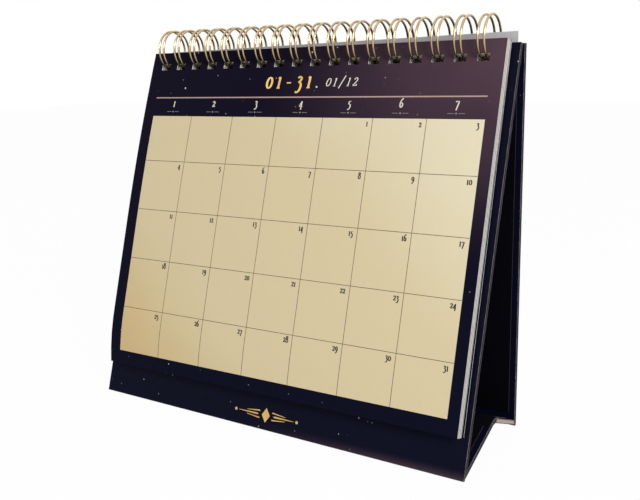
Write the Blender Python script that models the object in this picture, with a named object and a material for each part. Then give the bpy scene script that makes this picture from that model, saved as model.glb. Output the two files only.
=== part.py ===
"""Desk calendar: month sheets bound by a twin-loop wire to a folding easel of wrapped boards.

Metres, +Z up, the front towards -Y. Everything is drawn in a side profile of (y, z) points and
extruded along X. The ring's centre is the profile's own reference: "down" runs from it down a
sheet or board, "back" runs square to that, away from the reader.
"""
import math

import bmesh
import bpy
import numpy as np
from mathutils import Matrix, Vector

# Month sheets
SHEET_WIDTH = 0.2048
SHEET_HEIGHT = 0.1731
SHEET_THICKNESS = 0.00023
SHEET_GAP = 0.00014
SHEET_COUNT = 12
SHEET_STRAY = 0.0003
BACK_SHEET_THICKNESS = 0.0003
BACK_SHEET_SHIFT = 0.0003
BACK_SHEET_DROP = 0.0006
BACK_SHEET_TURN = math.radians(-0.6)

# Punched holes
HOLE_COUNT = 18
HOLE_ROW_MARGIN = 0.00988
HOLE_PITCH = (SHEET_WIDTH - 2 * HOLE_ROW_MARGIN) / (HOLE_COUNT - 1)
HOLE_WIDTH = 0.0057
HOLE_HEIGHT = 0.0034
HOLE_MARGIN = 0.0082

# Twin-loop wire
WIRE_DIAMETER = 0.00095
RING_RADIUS = 0.01035
TWIN_SPACING = 0.0030
ROOT_ANGLE = math.radians(33.9)
TIP_ANGLE = math.radians(360 + 22)
ROOT_BEND = 0.0010
RUN_STEPS = 20
WIRE_CLEARANCE = 0.0003

# Where the ring stands to the sheets
RING_ABOVE_SHEETS = 0.0014
RING_BEHIND_FACE = 0.0038

# Boards: a grey core inside a wrap with turned-in lips, and a lining pasted over the lips
BOARD_MARGIN = 0.0041
BOARD_WIDTH = SHEET_WIDTH + 2 * BOARD_MARGIN
BOARD_THICKNESS = 0.0026
WRAP_THICKNESS = 0.0003
LINING_THICKNESS = 0.0003
LAYER_GAP = 0.0001
LIP_WIDTH = 0.012
LINING_INSET = 0.003

# Easel
PAGE_LEAN = math.radians(17.85)
FRONT_LENGTH = 0.1914
SHEETS_TO_BOARD = 0.00126
BOARD_GAP_AT_RINGS = 0.0012
REAR_TOP_BELOW_RING = 0.0024
FOOT_SPAN = 0.065
FOOT_FLAT = 0.0012
CREASE_FROM_FOOT = 0.0356
CREASE_HEIGHT = 0.0128
CREASE_GAP = 0.0046
FOLD_GAP = 0.0003
FOLD_RANGE = math.radians(14)
FOLD_MARGIN = math.radians(1.2)

# Cover sheet, turned over to the rear
COVER_GAP = 0.0003
COVER_THICKNESS = 0.00025
COVER_HOLE_HEIGHT = 0.0042
COVER_HOLE_MARGIN = 0.0080

# How far the sheets turn
PAGE_TURN = math.radians(135)
BLOCK_TURN = math.radians(30)
COVER_TURN = math.radians(45)

PROFILE_TO_WORLD = Matrix(((0, 0, 1, 0), (1, 0, 0, 0), (0, 1, 0, 0), (0, 0, 0, 1)))


# Plane geometry of the profile

def left_of(direction):
    """The unit vector a quarter turn to the left."""
    return Vector((-direction.y, direction.x))


def meeting(p, along_p, q, along_q):
    """Where two lines, each a point and a direction, cross."""
    across = along_p.x * along_q.y - along_p.y * along_q.x
    gap = q - p
    return p + along_p * ((gap.x * along_q.y - gap.y * along_q.x) / across)


def inset(outline, distance):
    """An anticlockwise outline with every edge moved inwards by a distance."""
    count = len(outline)
    corners = []
    for i in range(count):
        before = (outline[i] - outline[i - 1]).normalized()
        after = (outline[(i + 1) % count] - outline[i]).normalized()
        corners.append(meeting(outline[i] + left_of(before) * distance, before,
                               outline[i] + left_of(after) * distance, after))
    return corners


def strip(start, end, low, high, ends):
    """A band along the edge from start to end, from low to high on its left, shortened at both ends."""
    along = (end - start).normalized()
    up = left_of(along)
    first = start + along * ends
    last = end - along * ends
    return [first + up * low, last + up * low, last + up * high, first + up * high]


def down_and_back(lean):
    """Unit vectors down a leaning face and out of its back."""
    return Vector((-math.sin(lean), -math.cos(lean))), Vector((math.cos(lean), -math.sin(lean)))


# The front board stands with its front lower corner at the profile's origin
FOOT = Vector((0.0, 0.0))
PAGE_DOWN, PAGE_BACK = down_and_back(PAGE_LEAN)
SHEET_PITCH = SHEET_THICKNESS + SHEET_GAP
BLOCK_BACK = SHEET_COUNT * SHEET_PITCH - RING_BEHIND_FACE
BOARD_BACK = BLOCK_BACK + BACK_SHEET_THICKNESS + SHEETS_TO_BOARD
RING = FOOT - PAGE_DOWN * (RING_ABOVE_SHEETS + FRONT_LENGTH) - PAGE_BACK * BOARD_BACK


def at_ring(down, back, lean=PAGE_LEAN):
    """A profile point by its distances down and back from the ring's centre."""
    down_way, back_way = down_and_back(lean)
    return RING + down_way * down + back_way * back


# The rear board pivots on the ring and reaches the table FOOT_SPAN behind the front corner
REAR_IN = BOARD_BACK + BOARD_THICKNESS + BOARD_GAP_AT_RINGS
REAR_OUT = REAR_IN + BOARD_THICKNESS
REAR_FOOT = Vector((FOOT_SPAN, 0.0))
TO_REAR_FOOT = REAR_FOOT - RING
REAR_REACH = math.sqrt(TO_REAR_FOOT.length_squared - REAR_OUT ** 2)
REAR_OPEN = (math.atan2(TO_REAR_FOOT.dot(PAGE_BACK), TO_REAR_FOOT.dot(PAGE_DOWN))
             - math.atan2(REAR_OUT, REAR_REACH))
REAR_LEAN = PAGE_LEAN - REAR_OPEN
REAR_DOWN, REAR_BACK = down_and_back(REAR_LEAN)

# The base folds up along a crease between the two feet
CREASE = Vector((CREASE_FROM_FOOT, CREASE_HEIGHT))
LONG_WAY = (CREASE - FOOT).normalized()
SHORT_WAY = (CREASE - REAR_FOOT).normalized()
LONG_UP = left_of(LONG_WAY)
SHORT_UP = -left_of(SHORT_WAY)
FRONT_FOLD = meeting(FOOT + PAGE_BACK * BOARD_THICKNESS, PAGE_DOWN,
                     FOOT + LONG_UP * BOARD_THICKNESS, LONG_WAY)
REAR_FOLD = meeting(REAR_FOOT - REAR_BACK * BOARD_THICKNESS, REAR_DOWN,
                    REAR_FOOT + SHORT_UP * BOARD_THICKNESS, SHORT_WAY)
LONG_TURN = math.pi / 2 - PAGE_LEAN - math.atan2(LONG_WAY.y, LONG_WAY.x) - FOLD_MARGIN
SHORT_TURN = math.pi / 2 + REAR_LEAN - math.atan2(SHORT_WAY.y, -SHORT_WAY.x) - FOLD_MARGIN

# The profile's middle goes to Y = 0, so the origin is below the middle of the bounding box
FRONT_MOST = min(FOOT.x, at_ring(RING_ABOVE_SHEETS + SHEET_HEIGHT, -RING_BEHIND_FACE).x)
REAR_MOST = max(REAR_FOOT.x, RING.x + RING_RADIUS + WIRE_DIAMETER / 2)
PROFILE_SHIFT = Matrix.Translation((0.0, -(FRONT_MOST + REAR_MOST) / 2, 0.0))


# Scene helpers

def collection(name):
    """A new collection in the scene."""
    made = bpy.data.collections.new(name)
    bpy.context.scene.collection.children.link(made)
    return made


def material(name, colour, roughness, metallic=0.0):
    """A Principled material of one colour."""
    made = bpy.data.materials.new(name)
    made.use_nodes = True
    shader = made.node_tree.nodes["Principled BSDF"]
    shader.inputs["Base Color"].default_value = (*colour, 1.0)
    shader.inputs["Roughness"].default_value = roughness
    shader.inputs["Metallic"].default_value = metallic
    return made


def profile_curve(outline):
    """A filled curve round a closed outline of the profile."""
    curve = bpy.data.curves.new("outline", "CURVE")
    curve.dimensions = "2D"
    curve.fill_mode = "BOTH"
    spline = curve.splines.new("POLY")
    spline.points.add(len(outline) - 1)
    for point, corner in zip(spline.points, outline):
        point.co = (corner.x, corner.y, 0.0, 1.0)
    spline.use_cyclic_u = True
    return curve


def extruded(name, outline, width, folder, shift=0.0):
    """The profile outline extruded along X, centred on shift, as a closed mesh object."""
    curve = profile_curve(outline)
    curve.extrude = width / 2
    drawn = bpy.data.objects.new(name, curve)
    folder.objects.link(drawn)
    drawn.matrix_world = Matrix.Translation((shift, 0, 0)) @ PROFILE_SHIFT @ PROFILE_TO_WORLD
    bpy.context.view_layer.update()
    depsgraph = bpy.context.evaluated_depsgraph_get()
    mesh = bpy.data.meshes.new_from_object(drawn.evaluated_get(depsgraph))
    solid = bpy.data.objects.new(name + "_solid", mesh)
    solid.matrix_world = drawn.matrix_world
    folder.objects.link(solid)
    bpy.data.objects.remove(drawn)
    solid.name = name
    mesh.name = name
    cleaned = bmesh.new()
    cleaned.from_mesh(mesh)
    bmesh.ops.remove_doubles(cleaned, verts=cleaned.verts, dist=1e-7)
    bmesh.ops.recalc_face_normals(cleaned, faces=cleaned.faces)
    cleaned.to_mesh(mesh)
    cleaned.free()
    return solid


def hide_cutter(cutter):
    """Marks an object as a cutter."""
    cutter.hide_render = True
    cutter.display_type = "WIRE"
    return cutter


def cut(piece, *cutters):
    """Takes each cutter out of the piece."""
    for cutter in cutters:
        boolean = piece.modifiers.new("cut_" + cutter.name, "BOOLEAN")
        boolean.operation = "DIFFERENCE"
        boolean.solver = "EXACT"
        boolean.object = cutter


def hole_places():
    """X of every punched hole, the row centred on the sheet."""
    return [(i - (HOLE_COUNT - 1) / 2) * HOLE_PITCH for i in range(HOLE_COUNT)]


def hole_cutter(name, low_down, high_down, low_back, high_back, lean=PAGE_LEAN):
    """A row of square bars through the punched holes of one sheet or board."""
    down_way, back_way = down_and_back(lean)
    middle = at_ring((low_down + high_down) / 2, (low_back + high_back) / 2, lean)
    turn = Matrix(((1, 0, 0), (0, down_way.x, back_way.x), (0, down_way.y, back_way.y))).to_4x4()
    size = Matrix.Diagonal((HOLE_WIDTH, high_down - low_down, high_back - low_back, 1))
    bars = bmesh.new()
    for place in hole_places():
        spot = PROFILE_SHIFT @ Matrix.Translation((place, middle.x, middle.y))
        bmesh.ops.create_cube(bars, size=1, matrix=spot @ turn @ size)
    bmesh.ops.recalc_face_normals(bars, faces=bars.faces)
    mesh = bpy.data.meshes.new(name)
    bars.to_mesh(mesh)
    bars.free()
    cutter = bpy.data.objects.new(name, mesh)
    CUTTERS.objects.link(cutter)
    return hide_cutter(cutter)


def pivot(name, point, parent=None):
    """An empty on a joint's axis."""
    made = bpy.data.objects.new(name, None)
    made.empty_display_size = 0.01
    made.matrix_world = PROFILE_SHIFT @ Matrix.Translation((0, point.x, point.y))
    PARTS.objects.link(made)
    bpy.context.view_layer.update()
    if parent:
        hang(made, parent)
    return made


def hang(piece, parent):
    """Parents a piece without moving it."""
    bpy.context.view_layer.update()
    piece.parent = parent
    piece.matrix_parent_inverse = parent.matrix_world.inverted()
    bpy.context.view_layer.update()


# Pieces

def wrapped_board(name, outline, inner, parent, holes=None, bare_ends=False):
    """A core in a wrap with turned-in lips, and the lining over them.

    The outline is anticlockwise, and its edge number inner is the lined face.
    """
    start = outline[inner]
    end = outline[(inner + 1) % len(outline)]
    lined = LINING_THICKNESS + LAYER_GAP
    along = (end - start).normalized()
    before = (start - outline[inner - 1]).normalized()
    after_next = (outline[(inner + 2) % len(outline)] - end).normalized()
    shell = list(outline)
    raised = start + left_of(along) * lined
    shell[inner] = meeting(raised, along, start, before)
    shell[(inner + 1) % len(outline)] = meeting(raised, along, end, after_next)
    hollow = inset(shell, WRAP_THICKNESS)
    filling = inset(hollow, LAYER_GAP)
    window = strip(shell[inner], shell[(inner + 1) % len(outline)],
                   -BOARD_THICKNESS, WRAP_THICKNESS + LAYER_GAP, LIP_WIDTH)
    hollow_width = BOARD_WIDTH - 2 * WRAP_THICKNESS
    core_width = hollow_width - 2 * LAYER_GAP
    if bare_ends:
        hollow_width = BOARD_WIDTH + 2 * WRAP_THICKNESS
        core_width = BOARD_WIDTH
    wrap = extruded(name + "_wrap", shell, BOARD_WIDTH, PARTS)
    cavity = hide_cutter(extruded(name + "_hollow", hollow, hollow_width, CUTTERS))
    opening = hide_cutter(extruded(name + "_window", window, BOARD_WIDTH - 2 * LIP_WIDTH, CUTTERS))
    cut(wrap, cavity, opening)
    core = extruded(name + "_core", filling, core_width, PARTS)
    lining_outline = strip(start, end, 0.0, LINING_THICKNESS, LINING_INSET)
    lining = extruded(name + "_lining", lining_outline, BOARD_WIDTH - 2 * LINING_INSET, PARTS)
    for piece, finish in ((wrap, WRAP_PAPER), (core, GREY_BOARD), (lining, LINING_PAPER)):
        piece.data.materials.append(finish)
        if holes:
            cut(piece, holes)
        if parent:
            hang(piece, parent)


def sheet(name, back, thickness, holes, finish, parent, top=RING_ABOVE_SHEETS, lean=PAGE_LEAN, shift=0.0):
    """One punched sheet of the calendar."""
    outline = [at_ring(top, back + thickness, lean), at_ring(top, back, lean),
               at_ring(top + SHEET_HEIGHT, back, lean), at_ring(top + SHEET_HEIGHT, back + thickness, lean)]
    made = extruded(name, outline, SHEET_WIDTH, PARTS, shift)
    made.data.materials.append(finish)
    cut(made, holes)
    hang(made, parent)
    return made


def ring_reach(back):
    """How far below its centre the ring's wire crosses the plane at a distance back."""
    return math.sqrt(RING_RADIUS ** 2 - back ** 2)


def wire_room(back):
    """Half the length that the slanting wire takes in a face at a distance back, with clearance."""
    return WIRE_DIAMETER / 2 * RING_RADIUS / ring_reach(back) + WIRE_CLEARANCE


def wire_point(angle, x):
    """A point of the wire's centre line, by its angle from the page's downward direction."""
    spot = at_ring(RING_RADIUS * math.cos(angle), RING_RADIUS * math.sin(angle))
    return PROFILE_SHIFT @ Vector((x, spot.x, spot.y))


def wire_route():
    """The centre line of the whole wire: root bend, up and round one way, tip, back, root bend."""
    half = TWIN_SPACING / 2
    bend = ROOT_BEND / RING_RADIUS
    tip = half / RING_RADIUS
    low = ROOT_ANGLE + bend
    high = TIP_ANGLE - tip
    run = [low + (high - low) * i / RUN_STEPS for i in range(RUN_STEPS + 1)]
    softened = 1 - math.cos(math.pi / 4)
    points = []
    for number, middle in enumerate(hole_places()):
        if number > 0:
            points.append(wire_point(ROOT_ANGLE, middle - half - ROOT_BEND))
            points.append(wire_point(ROOT_ANGLE + bend * softened, middle - half - ROOT_BEND * softened))
        points += [wire_point(angle, middle - half) for angle in run]
        for step in (1, 2, 3):
            turn = math.pi * step / 4
            points.append(wire_point(high + tip * math.sin(turn), middle - half * math.cos(turn)))
        points += [wire_point(angle, middle + half) for angle in reversed(run)]
        if number < HOLE_COUNT - 1:
            points.append(wire_point(ROOT_ANGLE + bend * softened, middle + half + ROOT_BEND * softened))
            points.append(wire_point(ROOT_ANGLE, middle + half + ROOT_BEND))
    return points


def least_gap(points, near):
    """The least gap between stretches of a wire that are further apart along it than near."""
    spots = np.array([tuple(point) for point in points])
    steps = np.linalg.norm(np.diff(spots, axis=0), axis=1)
    travelled = np.concatenate(([0.0], np.cumsum(steps)))
    least = math.inf
    for i in range(len(spots)):
        apart = travelled > travelled[i] + near
        if apart.any():
            least = min(least, np.linalg.norm(spots[apart] - spots[i], axis=1).min())
    return least - WIRE_DIAMETER


def wire_comb():
    """The twin-loop wire as one unbroken tube."""
    route = wire_route()
    curve = bpy.data.curves.new("wire_comb", "CURVE")
    curve.dimensions = "3D"
    curve.bevel_depth = WIRE_DIAMETER / 2
    curve.bevel_resolution = 1
    curve.use_fill_caps = True
    spline = curve.splines.new("POLY")
    spline.points.add(len(route) - 1)
    for point, spot in zip(spline.points, route):
        point.co = (*spot, 1.0)
    curve.materials.append(GOLD_WIRE)
    made = bpy.data.objects.new("wire_comb", curve)
    PARTS.objects.link(made)
    print("wire_comb: least gap to itself %.2f mm" % (1000 * least_gap(route, math.pi * TWIN_SPACING)))


def front_board():
    """The board that carries the sheets, mitred at its foot."""
    toe = FOOT + Vector((FOOT_FLAT, 0.0))
    top = RING_ABOVE_SHEETS
    outline = [FOOT, toe, FRONT_FOLD, at_ring(top, BOARD_BACK + BOARD_THICKNESS), at_ring(top, BOARD_BACK)]
    wrapped_board("front_board", outline, 2, None, BLOCK_HOLES)


def rear_board(hinge):
    """The board that props the easel, mitred at its foot and hung on the ring."""
    toe = REAR_FOOT - Vector((FOOT_FLAT, 0.0))
    top = REAR_TOP_BELOW_RING
    outline = [REAR_FOOT, at_ring(top, REAR_OUT, REAR_LEAN), at_ring(top, REAR_IN, REAR_LEAN), REAR_FOLD, toe]
    low = ring_reach(REAR_OUT) - wire_room(REAR_OUT)
    high = ring_reach(REAR_IN) + wire_room(REAR_IN)
    holes = hole_cutter("rear_board_holes", low, high, REAR_IN - BOARD_THICKNESS,
                        REAR_OUT + BOARD_THICKNESS, REAR_LEAN)
    wrapped_board("rear_board", outline, 2, hinge, holes)


def base_boards(front_hinge, rear_hinge):
    """The long and the short board of the base, with room at the open crease between them."""
    room = CREASE_GAP / 2
    mitre = (FRONT_FOLD - FOOT - Vector((FOOT_FLAT, 0.0))).normalized()
    clear = FRONT_FOLD - left_of(mitre) * FOLD_GAP
    outline = [meeting(clear, mitre, FOOT, LONG_WAY), CREASE - LONG_WAY * room,
               CREASE - LONG_WAY * room + LONG_UP * BOARD_THICKNESS,
               meeting(clear, mitre, FRONT_FOLD, LONG_WAY)]
    wrapped_board("long_base", outline, 2, front_hinge)
    mitre = (REAR_FOLD - REAR_FOOT + Vector((FOOT_FLAT, 0.0))).normalized()
    clear = REAR_FOLD + left_of(mitre) * FOLD_GAP
    outline = [CREASE - SHORT_WAY * room, meeting(clear, mitre, REAR_FOOT, SHORT_WAY),
               meeting(clear, mitre, REAR_FOLD, SHORT_WAY),
               CREASE - SHORT_WAY * room + SHORT_UP * BOARD_THICKNESS]
    wrapped_board("short_base", outline, 2, rear_hinge, bare_ends=True)


def month_sheets(block_hinge, page_hinge):
    """The twelve month sheets, front to back, the first on its own hinge."""
    for number in range(SHEET_COUNT):
        parent = block_hinge if number else page_hinge
        stray = SHEET_STRAY * math.sin(2.4 * number)
        sheet("page_%02d" % (number + 1), number * SHEET_PITCH - RING_BEHIND_FACE, SHEET_THICKNESS,
              BLOCK_HOLES, PRINTED_SHEET, parent, shift=stray)


def back_sheet(hinge):
    """The last sheet of the block, which hangs a little low and askew."""
    made = sheet("back_sheet", BLOCK_BACK, BACK_SHEET_THICKNESS, BLOCK_HOLES, PLAIN_SHEET, hinge)
    middle = at_ring(RING_ABOVE_SHEETS + HOLE_MARGIN, BLOCK_BACK)
    centre = PROFILE_SHIFT @ Vector((0, middle.x, middle.y))
    axis = Vector((0, PAGE_BACK.x, PAGE_BACK.y))
    drop = Vector((0, PAGE_DOWN.x, PAGE_DOWN.y)) * BACK_SHEET_DROP
    askew = (Matrix.Translation(Vector((BACK_SHEET_SHIFT, 0, 0)) + drop + centre)
             @ Matrix.Rotation(BACK_SHEET_TURN, 4, axis) @ Matrix.Translation(-centre))
    made.data.transform(made.matrix_world.inverted() @ askew @ made.matrix_world)


def cover_sheet(hinge):
    """The cover, turned over the rings to hang behind the rear board."""
    back = REAR_OUT + COVER_GAP
    crossing = ring_reach(back + COVER_THICKNESS / 2)
    holes = hole_cutter("cover_sheet_holes", crossing - COVER_HOLE_HEIGHT / 2, crossing + COVER_HOLE_HEIGHT / 2,
                        back - COVER_THICKNESS, back + 2 * COVER_THICKNESS, REAR_LEAN)
    sheet("cover_sheet", back, COVER_THICKNESS, holes, PRINTED_SHEET, hinge,
          top=crossing - COVER_HOLE_MARGIN, lean=REAR_LEAN)


def world(point):
    """A profile point as the model's (y, z)."""
    spot = PROFILE_SHIFT @ Vector((0, point.x, point.y))
    return "y %.5f z %.5f" % (spot.y, spot.z)


for old in list(bpy.data.objects):
    bpy.data.objects.remove(old)
PARTS = collection("desk_calendar")
CUTTERS = collection("cutters")
WRAP_PAPER = material("wrap_paper", (0.012, 0.010, 0.022), 0.45)
LINING_PAPER = material("lining_paper", (0.010, 0.010, 0.018), 0.6)
GREY_BOARD = material("grey_board", (0.55, 0.45, 0.38), 0.9)
PRINTED_SHEET = material("printed_sheet", (0.60, 0.50, 0.33), 0.5)
PLAIN_SHEET = material("plain_sheet", (0.70, 0.70, 0.66), 0.6)
GOLD_WIRE = material("gold_wire", (0.62, 0.42, 0.20), 0.25, 1.0)

BLOCK_HOLES = hole_cutter("block_holes", RING_ABOVE_SHEETS + HOLE_MARGIN - HOLE_HEIGHT / 2,
                          RING_ABOVE_SHEETS + HOLE_MARGIN + HOLE_HEIGHT / 2,
                          -RING_BEHIND_FACE - BOARD_THICKNESS, BOARD_BACK + 2 * BOARD_THICKNESS)
BLOCK_PIVOT = pivot("block_pivot", RING)
PAGE_PIVOT = pivot("page_pivot", RING, BLOCK_PIVOT)
REAR_PIVOT = pivot("rear_pivot", RING)
COVER_PIVOT = pivot("cover_pivot", RING, REAR_PIVOT)
FRONT_FOLD_PIVOT = pivot("front_fold_pivot", FRONT_FOLD)
REAR_FOLD_PIVOT = pivot("rear_fold_pivot", REAR_FOLD, REAR_PIVOT)

front_board()
rear_board(REAR_PIVOT)
base_boards(FRONT_FOLD_PIVOT, REAR_FOLD_PIVOT)
month_sheets(BLOCK_PIVOT, PAGE_PIVOT)
back_sheet(BLOCK_PIVOT)
cover_sheet(COVER_PIVOT)
wire_comb()

print("ring axis", world(RING))
print("front fold", world(FRONT_FOLD), "rear fold", world(REAR_FOLD))
print("rear board closes %.1f, long base turns %.2f, short base turns %.2f degrees"
      % tuple(math.degrees(turn) for turn in (FOLD_RANGE, LONG_TURN, SHORT_TURN)))
print("sheets turn %.0f, %.0f and %.0f degrees"
      % tuple(math.degrees(turn) for turn in (PAGE_TURN, BLOCK_TURN, COVER_TURN)))
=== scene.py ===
"""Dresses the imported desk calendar: papers, print, foil, wire, crease, light and camera.

Metres, +Z up, the front towards -Y. The print is laid out in page coordinates: millimetres across
and down from the upper left corner of the day grid, with lift as the height above the first sheet.
"""
import math

import bmesh
import bpy
from mathutils import Matrix, Vector


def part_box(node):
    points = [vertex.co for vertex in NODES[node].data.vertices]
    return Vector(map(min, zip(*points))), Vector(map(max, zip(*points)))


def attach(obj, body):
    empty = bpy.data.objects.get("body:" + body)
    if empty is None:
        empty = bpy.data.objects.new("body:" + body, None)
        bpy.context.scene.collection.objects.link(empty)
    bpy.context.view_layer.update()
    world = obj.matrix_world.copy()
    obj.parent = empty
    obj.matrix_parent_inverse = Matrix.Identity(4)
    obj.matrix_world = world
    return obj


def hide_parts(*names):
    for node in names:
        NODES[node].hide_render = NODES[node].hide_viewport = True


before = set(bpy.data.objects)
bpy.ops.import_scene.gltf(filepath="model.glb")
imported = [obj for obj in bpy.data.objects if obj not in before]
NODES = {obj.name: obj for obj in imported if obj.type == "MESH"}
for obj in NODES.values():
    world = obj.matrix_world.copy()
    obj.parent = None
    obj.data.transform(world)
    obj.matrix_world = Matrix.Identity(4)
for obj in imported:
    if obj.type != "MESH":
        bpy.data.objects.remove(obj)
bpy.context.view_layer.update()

MM = 0.001

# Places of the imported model
RING = Vector((0.0, 0.02314, 0.18419))
PAGE_LEAN = math.radians(17.85)
PAGE_DOWN = Vector((0.0, -math.sin(PAGE_LEAN), -math.cos(PAGE_LEAN)))
PAGE_BACK = Vector((0.0, math.cos(PAGE_LEAN), -math.sin(PAGE_LEAN)))
FRONTWARD = -PAGE_BACK
REARWARD = Vector((0, 1, 0))
SHEET_PITCH = 0.37
SHEET_COUNT = 12
FIRST_SHEET_FRONT = -3.8
BOARD_FRONT = 6.0
HOLE_COUNT = 18
HOLE_PITCH = 0.010885
RING_RADIUS = 0.01035
TWIN_SPACING = 0.003
ROOT_ANGLE = math.radians(33.9)
TIP_ANGLE = math.radians(382)
ROOT_BEND = 0.001
RUN_STEPS = 40
WIRE_DIAMETER = 0.00115
FOOT = Vector((-0.033865, 0.0))
REAR_FOOT = FOOT + Vector((0.065, 0.0))
CREASE = FOOT + Vector((0.0356, 0.0128))
CREASE_ROOM = 0.0023
BOARD_THICKNESS = 0.0026
BOARD_WIDTH = 0.213
LINING_THICKNESS = 0.0003
LINING_INSET = 0.003
LAYER_GAP = 0.0001

# Day grid, in page coordinates
GRID_LEFT = -95.4
GRID_TOP = 37.4
COLUMN = 27.45
ROWS = (0.0, 25.0, 52.0, 79.0, 106.0, 129.9)
COLUMNS = [COLUMN * i for i in range(8)]
LINE_WIDTH = 0.28
RULE_Y = -10.3
RULE_HALF_WIDTH = 0.32
RULE_RIGHT = 192.0

# The rest of the print
PRINT_CLEARANCE = 0.015
PRINT_THICKNESS = 0.02
LINE_THICKNESS = 0.015
FOIL_THICKNESS = 0.03
NUMERAL_SIZE = 2.2
NUMERAL_INSET = 2.2
NUMERAL_FOOT = 3.9
HEADING_SIZE = 6.0
HEADING_END = (100.0, -14.9)
SMALL_HEADING_SIZE = 4.2
SMALL_HEADING_END = (126.0, -15.6)
HEADING_DOT = (103.6, -15.4)
LABEL_SIZE = 3.1
LABEL_FOOT = -5.2
ORNAMENT_MIDDLE = (95.5, 147.6)

# How the sheets hang: turned a little about the right end of their hole row
SHEET_TURN = math.radians(0.35)
TURN_ACROSS = 187.9
TURN_DOWN = -27.8
X_AXIS = Vector((1.0, 0.0, 0.0))
SHEET_ACROSS = X_AXIS * math.cos(SHEET_TURN) - PAGE_DOWN * math.sin(SHEET_TURN)
SHEET_DOWN = PAGE_DOWN * math.cos(SHEET_TURN) + X_AXIS * math.sin(SHEET_TURN)
TURN_PLACE = RING + X_AXIS * ((TURN_ACROSS + GRID_LEFT) * MM) + PAGE_DOWN * ((TURN_DOWN + GRID_TOP) * MM)
GRID_CORNER = TURN_PLACE - SHEET_ACROSS * (TURN_ACROSS * MM) - SHEET_DOWN * (TURN_DOWN * MM)

# How they stand off the board: most at the left edge, nothing at the right or at the rings
SHEET_RIGHT = 197.8
SHEET_TOP = -36.0
SHEET_BOTTOM = 137.1
SHEET_WIDTH = 204.8
BOW = 3.8
BOW_REACH = 95.0
CURL_TOP = 110.0
CURL_SHARE = 0.85
SHEET_SWELL = 0.12
SHEET_STRAY = 0.2
SLICES_ACROSS = 20
SLICES_DOWN = 22
HALF_SHEET = 0.1
STRAY_TURN = 2.4
COVER_SLANT = 0.018

# The photograph's camera: focal length on a 36 mm sensor, and its place in page coordinates
LENS = 46.47
CAMERA_PLACE = (325.23, 80.5, 334.79)

# How much of the white floor shows plain white
FLOOR_WHITE = 0.97

# Colours as they look, before lights
NAVY = "110d1f"
NIGHT = "0d0e20"
PLUM = "523e49"
BOARD_EDGE = "08070d"
# Painted highlight along the wrap's rounded edges
EDGE_HIGHLIGHT = "c6b7bd"
# Painted sheen low on the right of the wrap's front face
PAINTED_FOOT_SHEEN = "55454c"
CREAM_LIGHT = "e2d9bb"
CREAM_MIDDLE = "d7c8a2"
CREAM_DEEP = "d2b786"
INK = "1d1719"
GOLD = "e3c27a"
OFF_WHITE = "e9e2d3"
GREY_INK = "8f8790"
ROSE = "b9a099"
PAPER_WHITE = "f4f2ec"
PAPER_SHADE = "e0ddd5"
COVER_INNER = "cfcdcf"
COVER_INNER_SHADE = "c2bfc1"


# Node trees

def linear(code):
    """A colour written as it looks, as the linear values that a shader takes."""
    values = [int(code[i:i + 2], 16) / 255 for i in (0, 2, 4)]
    return tuple(v / 12.92 if v <= 0.04045 else ((v + 0.055) / 1.055) ** 2.4 for v in values)


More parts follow.
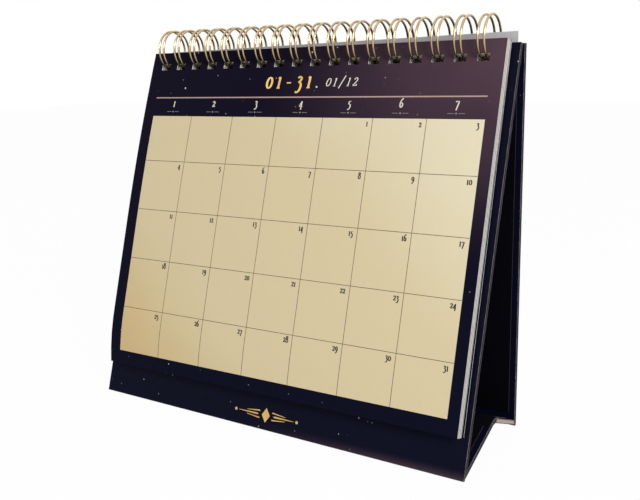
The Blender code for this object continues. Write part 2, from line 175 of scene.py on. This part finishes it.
class Tree:
    """A material's node tree, with short calls for the nodes used here."""

    def __init__(self, name, roughness, specular=0.5, metallic=0.0):
        self.material = bpy.data.materials.new(name)
        self.material.use_nodes = True
        self.nodes = self.material.node_tree.nodes
        self.shader = self.nodes["Principled BSDF"]
        self.shader.inputs["Roughness"].default_value = roughness
        self.shader.inputs["Specular IOR Level"].default_value = specular
        self.shader.inputs["Metallic"].default_value = metallic
        self.coordinates = self.nodes.new("ShaderNodeTexCoord")

    def link(self, source, target):
        self.material.node_tree.links.new(source, target)

    def feed(self, value, socket):
        """Links a socket, or writes a constant into the input."""
        if isinstance(value, bpy.types.NodeSocket):
            self.link(value, socket)
        elif isinstance(value, str):
            socket.default_value = (*linear(value), 1.0)
        else:
            socket.default_value = value

    def math(self, operation, first, second=0.0):
        node = self.nodes.new("ShaderNodeMath")
        node.operation = operation
        for value, socket in zip((first, second), node.inputs):
            self.feed(value, socket)
        return node.outputs[0]

    def vector(self, operation, first, second):
        node = self.nodes.new("ShaderNodeVectorMath")
        node.operation = operation
        self.feed(first, node.inputs[0])
        self.feed(second, node.inputs[1])
        return node.outputs["Value" if operation == "DOT_PRODUCT" else "Vector"]

    def along(self, way, origin=Vector()):
        """How far a point is from the origin along a direction, in millimetres."""
        reach = self.vector("DOT_PRODUCT", self.coordinates.outputs["Object"], tuple(way))
        return self.math("MULTIPLY", self.math("SUBTRACT", reach, way.dot(origin)), 1000.0)

    def facing(self, way):
        """1 where the surface faces the direction, 0 elsewhere."""
        share = self.vector("DOT_PRODUCT", self.coordinates.outputs["Normal"], tuple(way))
        return self.math("GREATER_THAN", share, 0.6)

    def step(self, value, low, high):
        """0 below low, 1 above high, smooth between."""
        node = self.nodes.new("ShaderNodeMapRange")
        node.interpolation_type = "SMOOTHSTEP"
        self.feed(value, node.inputs["Value"])
        node.inputs["From Min"].default_value = low
        node.inputs["From Max"].default_value = high
        return node.outputs["Result"]

    def between(self, value, low, high):
        """1 between two limits, 0 outside."""
        above = self.math("GREATER_THAN", value, low)
        return self.math("MULTIPLY", above, self.math("LESS_THAN", value, high))

    def mix(self, share, first, second):
        node = self.nodes.new("ShaderNodeMix")
        node.data_type = "RGBA"
        self.feed(share, node.inputs["Factor"])
        self.feed(first, node.inputs["A"])
        self.feed(second, node.inputs["B"])
        return node.outputs["Result"]

    def noise(self, scale, detail, stretch=(1, 1, 1)):
        place = self.vector("MULTIPLY", self.coordinates.outputs["Object"], stretch)
        node = self.nodes.new("ShaderNodeTexNoise")
        self.link(place, node.inputs["Vector"])
        node.inputs["Scale"].default_value = scale
        node.inputs["Detail"].default_value = detail
        return node.outputs["Fac"]

    def specks(self, scale, radius, share):
        """Small scattered dots: of the cells of a random pattern, a share holds one dot each."""
        node = self.nodes.new("ShaderNodeTexVoronoi")
        node.inputs["Scale"].default_value = scale
        self.link(self.coordinates.outputs["Object"], node.inputs["Vector"])
        split = self.nodes.new("ShaderNodeSeparateColor")
        self.link(node.outputs["Color"], split.inputs[0])
        size = self.math("MULTIPLY", split.outputs[1], radius)
        near = self.math("LESS_THAN", node.outputs["Distance"], size)
        chosen = self.math("LESS_THAN", split.outputs[0], share)
        return self.math("MULTIPLY", near, self.math("MULTIPLY", chosen, split.outputs[2]))

    def colour(self, value):
        self.feed(value, self.shader.inputs["Base Color"])
        return self

    def roughness(self, value):
        self.feed(value, self.shader.inputs["Roughness"])

    def bump(self, height, strength, distance=0.0002):
        node = self.nodes.new("ShaderNodeBump")
        node.inputs["Strength"].default_value = strength
        node.inputs["Distance"].default_value = distance
        self.link(height, node.inputs["Height"])
        self.link(node.outputs["Normal"], self.shader.inputs["Normal"])
        return self


def speckled(tree, dark):
    """A dark print with scattered light specks."""
    dots = tree.math("MAXIMUM", tree.specks(170.0, 0.09, 0.45), tree.specks(420.0, 0.16, 0.12))
    return tree.mix(tree.math("MULTIPLY", dots, 0.9), dark, OFF_WHITE)


def night_print(tree):
    """The sheets' dark ground: navy print with specks, turning plum towards the upper right."""
    across = tree.along(Vector((1, 0, 0)))
    down = tree.along(PAGE_DOWN, RING)
    cloud = tree.noise(22.0, 3.0)
    rightward = tree.step(across, -30.0, 105.0)
    upward = tree.math("SUBTRACT", 1.0, tree.step(down, 0.0, 105.0))
    plum_patch = tree.math("MULTIPLY", tree.math("MULTIPLY", rightward, upward),
                     tree.math("ADD", tree.math("MULTIPLY", cloud, 0.8), 0.6))
    base = tree.mix(tree.step(down, 30.0, 175.0), NAVY, NIGHT)
    dark = tree.mix(plum_patch, base, PLUM)
    return speckled(tree, dark)


def sheet_material(name, printed_way, grid, light=PAPER_WHITE, shade=PAPER_SHADE):
    """A month sheet or the cover: print on the side that faces printed_way, pale back and edges."""
    tree = Tree(name, 0.42, specular=0.02)
    dark = night_print(tree)
    if grid:
        across = tree.along(SHEET_ACROSS, GRID_CORNER)
        down = tree.along(SHEET_DOWN, GRID_CORNER)
        inside = tree.math("MULTIPLY", tree.between(across, COLUMNS[0], COLUMNS[-1]),
                           tree.between(down, ROWS[0], ROWS[-1]))
        depth = tree.math("SUBTRACT", tree.math("MULTIPLY", down, 1.2), across)
        mottle = tree.math("MULTIPLY", tree.math("SUBTRACT", tree.noise(18.0, 3.0), 0.5), 60.0)
        depth = tree.math("ADD", depth, mottle)
        cream = tree.mix(tree.step(depth, -190.0, -60.0), CREAM_LIGHT, CREAM_MIDDLE)
        cream = tree.mix(tree.step(depth, 50.0, 160.0), cream, CREAM_DEEP)
        dark = tree.mix(inside, dark, cream)
    fibre = tree.noise(900.0, 2.0, stretch=(1, 1, 0.2))
    paper = tree.mix(fibre, light, shade)
    tree.colour(tree.mix(tree.facing(printed_way), paper, dark))
    return tree.bump(tree.noise(1500.0, 2.0), 0.05)


def wrap_material(name):
    """The laminated cover paper round the boards, with a painted highlight along its rounded edges and a
    painted sheen low on the right of its front face.
    """
    tree = Tree(name, 0.38, specular=0.03)
    down = tree.along(PAGE_DOWN, RING)
    rightward = tree.step(tree.along(Vector((1, 0, 0))), -20.0, 90.0)
    # Painted sheen: the front face's lowest millimetres, more towards the right, are painted paler.
    painted_foot_sheen = tree.math("MULTIPLY", tree.step(down, 188.0, 197.0), rightward)
    face = tree.mix(painted_foot_sheen, speckled(tree, NIGHT), PAINTED_FOOT_SHEEN)
    dark = tree.mix(tree.facing(FRONTWARD), BOARD_EDGE, face)
    # Painted highlight: where the bevelled normal turns away from the flat face, the edges are painted pale,
    # uneven in patches.
    bevel = tree.nodes.new("ShaderNodeBevel")
    bevel.inputs["Radius"].default_value = 0.00038
    geometry = tree.nodes.new("ShaderNodeNewGeometry")
    flat = tree.vector("DOT_PRODUCT", bevel.outputs["Normal"], geometry.outputs["True Normal"])
    edge_highlight_mask = tree.math("SUBTRACT", 1.0, tree.step(flat, 0.72, 0.96))
    patchy = tree.step(tree.noise(240.0, 3.0), 0.35, 0.65)
    patchy_edge_highlight = tree.math("MULTIPLY", edge_highlight_mask, tree.math("ADD", tree.math("MULTIPLY", patchy, 0.5), 0.5))
    tree.colour(tree.mix(patchy_edge_highlight, dark, EDGE_HIGHLIGHT))
    return tree.bump(tree.noise(700.0, 3.0), 0.10)


def lining_material(name):
    """The dark lining paper, whose cut edge shows light."""
    tree = Tree(name, 0.6, specular=0.04)
    across = tree.vector("DOT_PRODUCT", tree.coordinates.outputs["Normal"], (1.0, 0.0, 0.0))
    edge = tree.math("GREATER_THAN", tree.math("ABSOLUTE", across), 0.8)
    tree.colour(tree.mix(edge, tree.mix(tree.noise(60.0, 3.0), "05050b", "0a0910"), "4e484a"))
    return tree.bump(tree.noise(900.0, 3.0), 0.15)


def board_material(name):
    """Pressed grey board, with the layers and fibres of its cut."""
    tree = Tree(name, 0.9, specular=0.1)
    layers = tree.noise(1600.0, 3.0, stretch=(1, 1, 4))
    tree.colour(tree.mix(layers, "cfbdb0", "93807a"))
    return tree.bump(layers, 0.6, 0.0003)


def metal_material(name, light, dark, roughness, painted_shade=None):
    """Plated metal, a little uneven in colour and polish, with painted shade where it faces down or back."""
    tree = Tree(name, roughness, metallic=1.0)
    uneven = tree.noise(260.0, 3.0)
    metal = tree.mix(uneven, light, dark)
    if painted_shade:
        # Painted shade: faces turned away from the light, down, back and to the left, are painted dark
        # brown.
        upward = tree.vector("DOT_PRODUCT", tree.coordinates.outputs["Normal"], (0.6, -0.45, 0.66))
        metal = tree.mix(tree.step(upward, -0.2, 0.85), painted_shade, metal)
    tree.colour(metal)
    tree.roughness(tree.math("ADD", tree.math("MULTIPLY", uneven, 0.16), roughness - 0.08))
    return tree


def ink_material(name, light, dark):
    """Printed ink with a faintly uneven coat."""
    tree = Tree(name, 0.5, specular=0.15)
    return tree.colour(tree.mix(tree.noise(1800.0, 2.0), light, dark))


# Shared by the pieces

def placed(name, data):
    """A new object in the scene, from its data."""
    made = bpy.data.objects.new(name, data)
    bpy.context.scene.collection.objects.link(made)
    return made


def close_rings(mesh, first, second):
    """Faces that close the solid between two rings of corners."""
    mesh.faces.new(first)
    mesh.faces.new(list(reversed(second)))
    for i in range(len(first)):
        j = (i + 1) % len(first)
        mesh.faces.new((first[i], second[i], second[j], first[j]))


# Sheets that stand off the board

def page_point(across, down, lift):
    """A point over the first sheet's flat face."""
    return (GRID_CORNER + SHEET_ACROSS * (across * MM) + SHEET_DOWN * (down * MM)
            + PAGE_BACK * ((FIRST_SHEET_FRONT - lift) * MM))


def bow(across, down):
    """How far the first sheet stands forward of its flat place, in millimetres."""
    sideways = (SHEET_RIGHT - across) / SHEET_WIDTH
    reach = min(max((down - SHEET_TOP) / BOW_REACH, 0.0), 1.0)
    curl = min(max((down - CURL_TOP) / (SHEET_BOTTOM - CURL_TOP), 0.0), 1.0)
    return BOW * sideways * (1 - (1 - reach) ** 2) * (1 - CURL_SHARE * curl * curl)


def bow_share(number):
    """How much of the first sheet's bow a sheet has, by its place in the block from 0."""
    return (SHEET_COUNT + 1 - number) / (SHEET_COUNT + 1)


def shaded_smooth(data):
    """Smooth shading, with sharp edges kept."""
    data.shade_smooth()
    data.set_sharp_from_angle(angle=math.radians(30))


def bowed_sheet(number):
    """A month sheet that stands off the board, in place of its flat node."""
    node = "page_%02d" % (number + 1)
    sheet = bmesh.new()
    sheet.from_mesh(NODES[node].data)
    turn = Matrix.Rotation(-SHEET_TURN, 4, PAGE_BACK)
    bmesh.ops.transform(sheet, verts=sheet.verts,
                        matrix=Matrix.Translation(TURN_PLACE) @ turn @ Matrix.Translation(-TURN_PLACE))
    for i in range(1, SLICES_ACROSS):
        bmesh.ops.bisect_plane(sheet, geom=sheet.verts[:] + sheet.edges[:] + sheet.faces[:],
                               plane_co=page_point(SHEET_RIGHT - SHEET_WIDTH * i / SLICES_ACROSS, 0, 0),
                               plane_no=SHEET_ACROSS)
    for i in range(1, SLICES_DOWN):
        down = SHEET_TOP + (SHEET_BOTTOM - SHEET_TOP) * i / SLICES_DOWN
        bmesh.ops.bisect_plane(sheet, geom=sheet.verts[:] + sheet.edges[:] + sheet.faces[:],
                               plane_co=page_point(0, down, 0),
                               plane_no=SHEET_DOWN)
    share = bow_share(number) * MM
    middle = FIRST_SHEET_FRONT + SHEET_PITCH * number + HALF_SHEET
    for vertex in sheet.verts:
        across = (vertex.co - GRID_CORNER).dot(SHEET_ACROSS) / MM
        down = (vertex.co - GRID_CORNER).dot(SHEET_DOWN) / MM
        if (vertex.co - RING).dot(PAGE_BACK) / MM > middle:
            vertex.co += PAGE_BACK * SHEET_SWELL * MM
        vertex.co.x -= SHEET_STRAY * MM * math.sin(STRAY_TURN * number)
        vertex.co -= PAGE_BACK * (bow(across, down) * share)
    stand_in(sheet, "bowed_" + node, node, "page_block" if number else "front_page", MONTH_SHEET)


def stand_in(mesh, name, node, body, material):
    """A piece made from a sheet's own mesh, shown in its place."""
    data = bpy.data.meshes.new(name)
    mesh.to_mesh(data)
    mesh.free()
    shaded_smooth(data)
    made = placed(name, data)
    data.materials.append(material)
    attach(made, body)
    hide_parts(node)


def slanted_cover():
    """The cover, whose upper edge drops towards the left."""
    cover = bmesh.new()
    cover.from_mesh(NODES["cover_sheet"].data)
    low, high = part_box("cover_sheet")
    for vertex in cover.verts:
        if vertex.co.z > high.z - MM:
            vertex.co.z -= COVER_SLANT * (high.x - vertex.co.x)
    stand_in(cover, "slanted_cover", "cover_sheet", "turned_cover", COVER)


# The wire

def ring_point(angle, x):
    """A point of the wire's centre line, by its angle from the sheets' downward direction."""
    return (RING + X_AXIS * x + PAGE_DOWN * (RING_RADIUS * math.cos(angle))
            + PAGE_BACK * (RING_RADIUS * math.sin(angle)))


def root_bend(turn, bend, x, side):
    """A point of the bend at a loop's root, by its turn from the run between two loops."""
    return ring_point(ROOT_ANGLE + bend * (1 - math.cos(turn)), x + side * ROOT_BEND * (1 - math.sin(turn)))


def wire_route():
    """The centre line of the whole wire: root bend, round to the tip, back, root bend."""
    half = TWIN_SPACING / 2
    bend = ROOT_BEND / RING_RADIUS
    tip = half / RING_RADIUS
    low = ROOT_ANGLE + bend
    high = TIP_ANGLE - tip
    run = [low + (high - low) * i / RUN_STEPS for i in range(RUN_STEPS + 1)]
    turns = [math.pi * i / 8 for i in range(1, 8)]
    quarter = [math.pi / 2 * i / 4 for i in range(4)]
    route = []
    for number in range(HOLE_COUNT):
        middle = (number - (HOLE_COUNT - 1) / 2) * HOLE_PITCH
        if number > 0:
            route += [root_bend(t, bend, middle - half, -1) for t in quarter]
        route += [ring_point(angle, middle - half) for angle in run]
        route += [ring_point(high + tip * math.sin(t), middle - half * math.cos(t)) for t in turns]
        route += [ring_point(angle, middle + half) for angle in reversed(run)]
        if number < HOLE_COUNT - 1:
            route += [root_bend(t, bend, middle + half, 1) for t in reversed(quarter)]
    return route


def round_wire():
    """The wire, drawn round and smooth."""
    route = wire_route()
    curve = bpy.data.curves.new("round_wire", "CURVE")
    curve.dimensions = "3D"
    curve.bevel_depth = WIRE_DIAMETER / 2
    curve.bevel_resolution = 3
    curve.use_fill_caps = True
    spline = curve.splines.new("POLY")
    spline.points.add(len(route) - 1)
    for point, spot in zip(spline.points, route):
        point.co = (*spot, 1.0)
    spline.use_smooth = True
    curve.materials.append(BRASS)
    made = placed("round_wire", curve)
    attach(made, "root")
    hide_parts("wire_comb")


# Print, in page coordinates

class Print:
    """A layer of print: many small closed forms on one face, as one mesh."""

    def __init__(self, name, material, body, slot, depth=0.0, share=0.0, thickness=PRINT_THICKNESS):
        self.name = name
        self.material = material
        self.body = body
        self.slot = slot
        self.low = PRINT_CLEARANCE - depth
        self.high = self.low + thickness
        self.share = share
        self.mesh = bmesh.new()

    def vertex(self, x, y, lift):
        """A corner of a form, on the bowed face."""
        return self.mesh.verts.new(page_point(x, y, lift + self.share * bow(x, y)))

    def outline(self, points):
        """A flat closed form with this outline."""
        rings = [[self.vertex(x, y, lift) for x, y in points] for lift in (self.low, self.high)]
        close_rings(self.mesh, *rings)

    def bar(self, left, top, right, bottom):
        """An upright rectangle, in lengths short enough to follow the bow."""
        count = math.ceil((bottom - top) / 6)
        for i in range(count):
            high = top + (bottom - top) * i / count
            low = top + (bottom - top) * (i + 1) / count
            self.outline([(left, high), (right, high), (right, low), (left, low)])

    def dot(self, x, y, radius, sides=12):
        turns = [2 * math.pi * i / sides for i in range(sides)]
        self.outline([(x + radius * math.cos(t), y + radius * math.sin(t)) for t in turns])

    def stroke(self, points, pen):
        """A pen stroke through the points, as wide at each one as pen says for its direction."""
        sections = []
        count = len(points)
        for i, (x, y) in enumerate(points):
            before = points[max(i - 1, 0)]
            after = points[min(i + 1, count - 1)]
            along = Vector((after[0] - before[0], after[1] - before[1])).normalized()
            half = pen(along) / 2
            side = Vector((-along.y, along.x)) * half
            corners = ((-1, self.low), (1, self.low), (1, self.high), (-1, self.high))
            sections.append([self.vertex(x + s * side.x, y + s * side.y, lift) for s, lift in corners])
        for first, second in zip(sections, sections[1:]):
            for i in range(4):
                j = (i + 1) % 4
                self.mesh.faces.new((first[i], first[j], second[j], second[i]))
        self.mesh.faces.new(list(reversed(sections[0])))
        self.mesh.faces.new(sections[-1])

    def done(self):
        """The layer as an object on its body."""
        bmesh.ops.recalc_face_normals(self.mesh, faces=self.mesh.faces)
        data = bpy.data.meshes.new(self.name)
        self.mesh.to_mesh(data)
        self.mesh.free()
        made = placed(self.name, data)
        data.materials.append(self.material)
        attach(made, self.body)


def smooth(points, steps=5):
    """A curve through the points, as a finer row of points."""
    if len(points) < 3:
        return points
    ends = [points[0]] + list(points) + [points[-1]]
    fine = []
    for i in range(1, len(ends) - 2):
        a, b, c, d = (Vector(ends[i + k]) for k in (-1, 0, 1, 2))
        for step in range(steps):
            t = step / steps
            spot = 0.5 * (2 * b + (c - a) * t + (2 * a - 5 * b + 4 * c - d) * t * t
                          + (3 * b - 3 * c + d - a) * t * t * t)
            fine.append((spot.x, spot.y))
    fine.append(tuple(points[-1]))
    return fine


def loop(x, y, across, up, start=90):
    """An oval stroke that ends where it began."""
    turns = [math.radians(start + 30 * i) for i in range(13)]
    return [(x + across * math.cos(t), y + up * math.sin(t)) for t in turns]


# Old-style numerals: strokes in units of the height of a small numeral, with y up from its foot
NUMERALS = {
    "0": (0.66, [loop(0.33, 0.49, 0.25, 0.45)]),
    "1": (0.44, [[(0.22, 0.03), (0.22, 0.97)], [(0.07, 0.03), (0.37, 0.03)], [(0.08, 0.84), (0.22, 0.96)]]),
    "2": (0.60, [[(0.08, 0.74), (0.13, 0.89), (0.28, 0.96), (0.43, 0.86), (0.45, 0.66), (0.30, 0.38),
                  (0.07, 0.06)], [(0.07, 0.06), (0.50, 0.06)], [(0.50, 0.04), (0.54, 0.22)]]),
    "3": (0.58, [[(0.08, 0.86), (0.22, 0.97), (0.38, 0.90), (0.41, 0.74), (0.30, 0.56), (0.18, 0.50)],
                 [(0.18, 0.50), (0.38, 0.44), (0.48, 0.20), (0.42, -0.16), (0.22, -0.36), (0.04, -0.30)]]),
    "4": (0.64, [[(0.40, 0.97), (0.05, 0.12)], [(0.05, 0.11), (0.60, 0.11)], [(0.41, 0.97), (0.41, -0.40)]]),
    "5": (0.56, [[(0.15, 0.92), (0.12, 0.50)], [(0.14, 0.93), (0.46, 0.95)],
                 [(0.12, 0.49), (0.28, 0.51), (0.43, 0.36), (0.45, 0.06), (0.30, -0.26), (0.05, -0.38)]]),
    "6": (0.62, [[(0.50, 1.40), (0.26, 1.18), (0.11, 0.80), (0.09, 0.38), (0.20, 0.06), (0.36, 0.05),
                  (0.50, 0.26), (0.48, 0.56), (0.32, 0.70), (0.12, 0.56)]]),
    "7": (0.56, [[(0.06, 0.78), (0.08, 0.93)], [(0.07, 0.93), (0.51, 0.93)], [(0.51, 0.93), (0.22, -0.40)]]),
    "8": (0.62, [loop(0.31, 1.07, 0.18, 0.29), loop(0.31, 0.40, 0.24, 0.37)]),
    "9": (0.62, [[(0.10, -0.40), (0.34, -0.18), (0.49, 0.20), (0.52, 0.60), (0.40, 0.93), (0.25, 0.95),
                  (0.11, 0.72), (0.13, 0.42), (0.28, 0.29), (0.48, 0.44)]]),
    "-": (0.62, [[(0.10, 0.46), (0.52, 0.46)]]),
    "/": (0.66, [[(0.10, -0.25), (0.54, 1.25)]]),
}


def numeral_pen(size, weight):
    """A broad pen held level: upright strokes are thick, level ones thin."""
    def width(along):
        return size * weight * (0.5 + 0.5 * abs(along.y))
    return width


def text_width(text, size, spacing):
    """How wide a row of numerals is, without the space after the last."""
    return sum(NUMERALS[c][0] + spacing for c in text) * size - spacing * size


def write(layer, text, right, foot, size, weight=0.17, slant=0.0, spacing=0.06):
    """Numerals that end at right and stand on foot."""
    pen = numeral_pen(size, weight)
    x = right - text_width(text, size, spacing)
    for character in text:
        width, strokes = NUMERALS[character]
        for points in strokes:
            placed = [(x + (px + slant * py) * size, foot - py * size) for px, py in points]
            layer.stroke(smooth(placed), pen)
        x += (width + spacing) * size


def month_print(prefix, number, first_column, days, heading, small_heading):
    """Everything printed on one month sheet over its ground."""
    body = "page_block" if number else "front_page"
    place = {"depth": number * SHEET_PITCH, "share": bow_share(number)}
    ink = Print(prefix + "_numerals", DARK_INK, body, "printed_sheet", **place)
    for day in range(1, days + 1):
        row, column = divmod(first_column + day - 1, 7)
        write(ink, str(day), COLUMNS[column + 1] - NUMERAL_INSET, ROWS[row] + NUMERAL_FOOT, NUMERAL_SIZE,
              weight=0.25)
    ink.done()

    lines = Print(prefix + "_lines", LINE_INK, body, "printed_sheet", thickness=LINE_THICKNESS, **place)
    half = LINE_WIDTH / 2
    for x in COLUMNS[1:-1]:
        lines.bar(x - half, ROWS[0], x + half, ROWS[-1])
    for y in ROWS[1:-1]:
        for left, right in zip(COLUMNS, COLUMNS[1:]):
            lines.bar(left + half, y - half, right - half, y + half)
    lines.done()

    rule = Print(prefix + "_rule", RULE_INK, body, "gold_wire", **place)
    rule.bar(0.0, RULE_Y - RULE_HALF_WIDTH, RULE_RIGHT, RULE_Y + RULE_HALF_WIDTH)
    rule.done()

    gold = Print(prefix + "_heading", FOIL, body, "gold_wire", **place)
    write(gold, heading, *HEADING_END, HEADING_SIZE, weight=0.21, slant=0.10, spacing=0.45)
    gold.done()

    light = Print(prefix + "_labels", LIGHT_INK, body, "printed_sheet", **place)
    light.dot(*HEADING_DOT, 0.5)
    write(light, small_heading, *SMALL_HEADING_END, SMALL_HEADING_SIZE,
          weight=0.14, slant=0.25, spacing=0.35)
    for column in range(7):
        middle = COLUMNS[column] + COLUMN / 2
        label = str(column + 1)
        right = middle + text_width(label, LABEL_SIZE, 0) / 2
        write(light, label, right, LABEL_FOOT, LABEL_SIZE, weight=0.20, slant=0.08)
    light.done()

    grey = Print(prefix + "_marks", FAINT_INK, body, "printed_sheet", **place)
    for column in range(7):
        middle = COLUMNS[column] + COLUMN / 2
        grey.bar(middle - 4.2, -2.65, middle - 1.2, -2.40)
        grey.bar(middle + 1.2, -2.65, middle + 4.2, -2.40)
        grey.outline([(middle - 0.65, -2.52), (middle, -3.05), (middle + 0.65, -2.52), (middle, -2.0)])
    grey.done()


def foil_ornament():
    """A small plain gold ornament on the front board's lower strip."""
    foil = Print("foil_ornament", FOIL, "root", "gold_wire", depth=BOARD_FRONT, thickness=FOIL_THICKNESS)
    x, y = ORNAMENT_MIDDLE
    for side in (-1, 1):
        foil.outline([(x + side * 4.2, y), (x + side * 5.4, y - 0.42), (x + side * 16.5, y - 0.08),
                      (x + side * 16.5, y + 0.08), (x + side * 5.4, y + 0.42)])
        foil.dot(x + side * 18.3, y, 0.75)
        for way in (-1, 1):
            foil.outline([(x + side * 4.0, y + way * 2.1), (x + side * 11.5, y + way * 1.15),
                          (x + side * 11.5, y + way * 0.95), (x + side * 3.4, y + way * 1.5)])
    foil.outline([(x, y - 3.6), (x + 2.4, y), (x, y + 3.6), (x - 2.4, y)])
    foil.done()


# The papers over the base's crease, between the ends of its two boards

def crease_half(name, foot, body, low, high, start, material):
    """Half of the crease's paper.

    It runs from start before the crease to its middle, and from low to high over the underside.
    """
    along = (CREASE - foot).normalized()
    other = (CREASE - (REAR_FOOT if foot is FOOT else FOOT)).normalized()
    side = 1 if foot is FOOT else -1
    up = Vector((-along.y, along.x)) * side
    middle_up = (up + Vector((other.y, -other.x)) * side).normalized()
    profile = []
    for level, backwards in ((low, False), (high, True)):
        corner = CREASE + middle_up * (level / middle_up.dot(up))
        near = CREASE - along * CREASE_ROOM + up * level
        far = corner + (corner - near).length * -other
        curve = []
        for step in range(6):
            t = step / 10
            curve.append(near * (1 - t) ** 2 + corner * (2 * t * (1 - t)) + far * t ** 2)
        if start > CREASE_ROOM:
            curve.insert(0, CREASE - along * start + up * level)
        profile += reversed(curve) if backwards else curve
    solid = bmesh.new()
    half = BOARD_WIDTH / 2
    rings = [[solid.verts.new((x, point.x, point.y)) for point in profile] for x in (-half, half)]
    close_rings(solid, *rings)
    bmesh.ops.recalc_face_normals(solid, faces=solid.faces)
    data = bpy.data.meshes.new(name)
    solid.to_mesh(data)
    solid.free()
    shaded_smooth(data)
    made = placed(name, data)
    data.materials.append(material)
    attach(made, body)


def crease_papers():
    """Wrap and lining over the crease, each in two halves that part as the base folds."""
    lining_low = BOARD_THICKNESS - LINING_THICKNESS
    for side, foot in (("long", FOOT), ("short", REAR_FOOT)):
        body = side + "_base_panel"
        crease_half("crease_wrap_" + side, foot, body, 0.0, lining_low - LAYER_GAP,
                    CREASE_ROOM, WRAP)
        crease_half("crease_lining_" + side, foot, body, lining_low, BOARD_THICKNESS,
                    CREASE_ROOM + LINING_INSET, LINING)


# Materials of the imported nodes

DARK_INK = ink_material("dark_ink", INK, "3f3439").material
LINE_INK = ink_material("line_ink", "5f5048", "75655a").material
LIGHT_INK = ink_material("light_ink", OFF_WHITE, "cfc7b8").material
FAINT_INK = ink_material("faint_ink", GREY_INK, "77707a").material
RULE_INK = ink_material("rule_ink", ROSE, "a58c86").material
FOIL = metal_material("foil", GOLD, "b8924c", 0.3).material

MONTH_SHEET = sheet_material("month_sheet", FRONTWARD, grid=True).material
COVER = sheet_material("cover_print", REARWARD, grid=False,
                       light=COVER_INNER, shade=COVER_INNER_SHADE).material
CARD = sheet_material("last_card", FRONTWARD, grid=False).material
WRAP = wrap_material("wrap").material
LINING = lining_material("lining").material
BOARD = board_material("board_core").material
# The wire, with painted shade on its lower and rear sides
BRASS = metal_material("brass_wire", "ecd6a6", "b0905e", 0.2, painted_shade="24160f").material

FINISHES = {"wrap": WRAP, "lining": LINING, "core": BOARD, "wire_comb": BRASS, "cover_sheet": COVER,
            "back_sheet": CARD}
for name, node in NODES.items():
    layer = name.split("_")[-1]
    finish = MONTH_SHEET if name.startswith("page_") else FINISHES.get(name, FINISHES.get(layer))
    for place in node.material_slots:
        place.material = finish

for sheet_number in range(SHEET_COUNT):
    bowed_sheet(sheet_number)
slanted_cover()
round_wire()
month_print("page_01", 0, 4, 31, "01-31", "01/12")
month_print("page_02", 1, 0, 28, "01-28", "02/12")
foil_ornament()
crease_papers()


# Stage

def plane(name, corners, material):
    """A flat face in the scene."""
    data = bpy.data.meshes.new(name)
    data.from_pydata(corners, [], [tuple(range(len(corners)))])
    data.materials.append(material)
    made = placed(name, data)


def seen_directly(nodes, links):
    """1 for camera, glossy and transmission rays, 0 for the rest."""
    path = nodes.new("ShaderNodeLightPath")
    total = path.outputs["Is Camera Ray"]
    for ray in ("Is Glossy Ray", "Is Transmission Ray"):
        larger = nodes.new("ShaderNodeMath")
        larger.operation = "MAXIMUM"
        links.new(total, larger.inputs[0])
        links.new(path.outputs[ray], larger.inputs[1])
        total = larger.outputs[0]
    return total


def floor_material():
    """A matt white floor that keeps a soft shadow and otherwise shows white."""
    material = bpy.data.materials.new("floor")
    material.use_nodes = True
    nodes, links = material.node_tree.nodes, material.node_tree.links
    nodes.clear()
    diffuse = nodes.new("ShaderNodeBsdfDiffuse")
    diffuse.inputs["Color"].default_value = (0.9, 0.9, 0.9, 1)
    white = nodes.new("ShaderNodeEmission")
    white.inputs["Color"].default_value = (1, 1, 1, 1)
    share = nodes.new("ShaderNodeMath")
    share.operation = "MULTIPLY"
    links.new(seen_directly(nodes, links), share.inputs[0])
    share.inputs[1].default_value = FLOOR_WHITE
    blend = nodes.new("ShaderNodeMixShader")
    links.new(share.outputs[0], blend.inputs[0])
    links.new(diffuse.outputs[0], blend.inputs[1])
    links.new(white.outputs[0], blend.inputs[2])
    output = nodes.new("ShaderNodeOutputMaterial")
    links.new(blend.outputs[0], output.inputs["Surface"])
    return material


def white_world(level):
    """A white surround that lights the object at the given level."""
    world = bpy.data.worlds.new("surround")
    bpy.context.scene.world = world
    world.use_nodes = True
    nodes, links = world.node_tree.nodes, world.node_tree.links
    ground = nodes["Background"]
    ground.inputs["Color"].default_value = (1, 1, 1, 1)
    strength = nodes.new("ShaderNodeMapRange")
    links.new(seen_directly(nodes, links), strength.inputs["Value"])
    strength.inputs["To Min"].default_value = level
    strength.inputs["To Max"].default_value = 1.0
    links.new(strength.outputs["Result"], ground.inputs["Strength"])


def area_light(name, place, aim, size, power):
    """A round white lamp at a place, aimed at another."""
    lamp = bpy.data.lights.new(name, "AREA")
    lamp.shape = "DISK"
    lamp.size = size
    lamp.energy = power
    made = placed(name, lamp)
    made.location = place
    made.rotation_euler = (Vector(aim) - Vector(place)).to_track_quat("-Z", "Y").to_euler()


def page_direction(across, down, back):
    """A direction given in the sheets' axes, in the model's."""
    return SHEET_ACROSS * across + SHEET_DOWN * down + PAGE_BACK * back


def photo_camera():
    """The camera, placed by fitting the page's printed grid."""
    data = bpy.data.cameras.new("camera")
    data.sensor_width = 36.0
    data.sensor_fit = "HORIZONTAL"
    data.lens = LENS
    data.clip_start = 0.01
    camera = placed("camera", data)
    right = page_direction(0.845293, -0.13282, 0.517534)
    up = -page_direction(0.090957, 0.99024, 0.105586)
    back = -page_direction(-0.526506, -0.04217, 0.849127)
    turn = Matrix((right, up, back)).transposed().to_4x4()
    camera.matrix_world = Matrix.Translation(page_point(*CAMERA_PLACE)) @ turn
    bpy.context.scene.camera = camera


plane("floor", [(-3, -3, -0.0002), (3, -3, -0.0002), (3, 3, -0.0002), (-3, 3, -0.0002)], floor_material())
white_world(0.44)
area_light("key", (1.0, -0.7, 0.8), (0, 0, 0.1), 0.5, 12.5)
area_light("fill", (-0.9, -0.7, 0.6), (0, 0, 0.1), 0.8, 1)
photo_camera()
bpy.context.scene.view_settings.view_transform = "Standard"
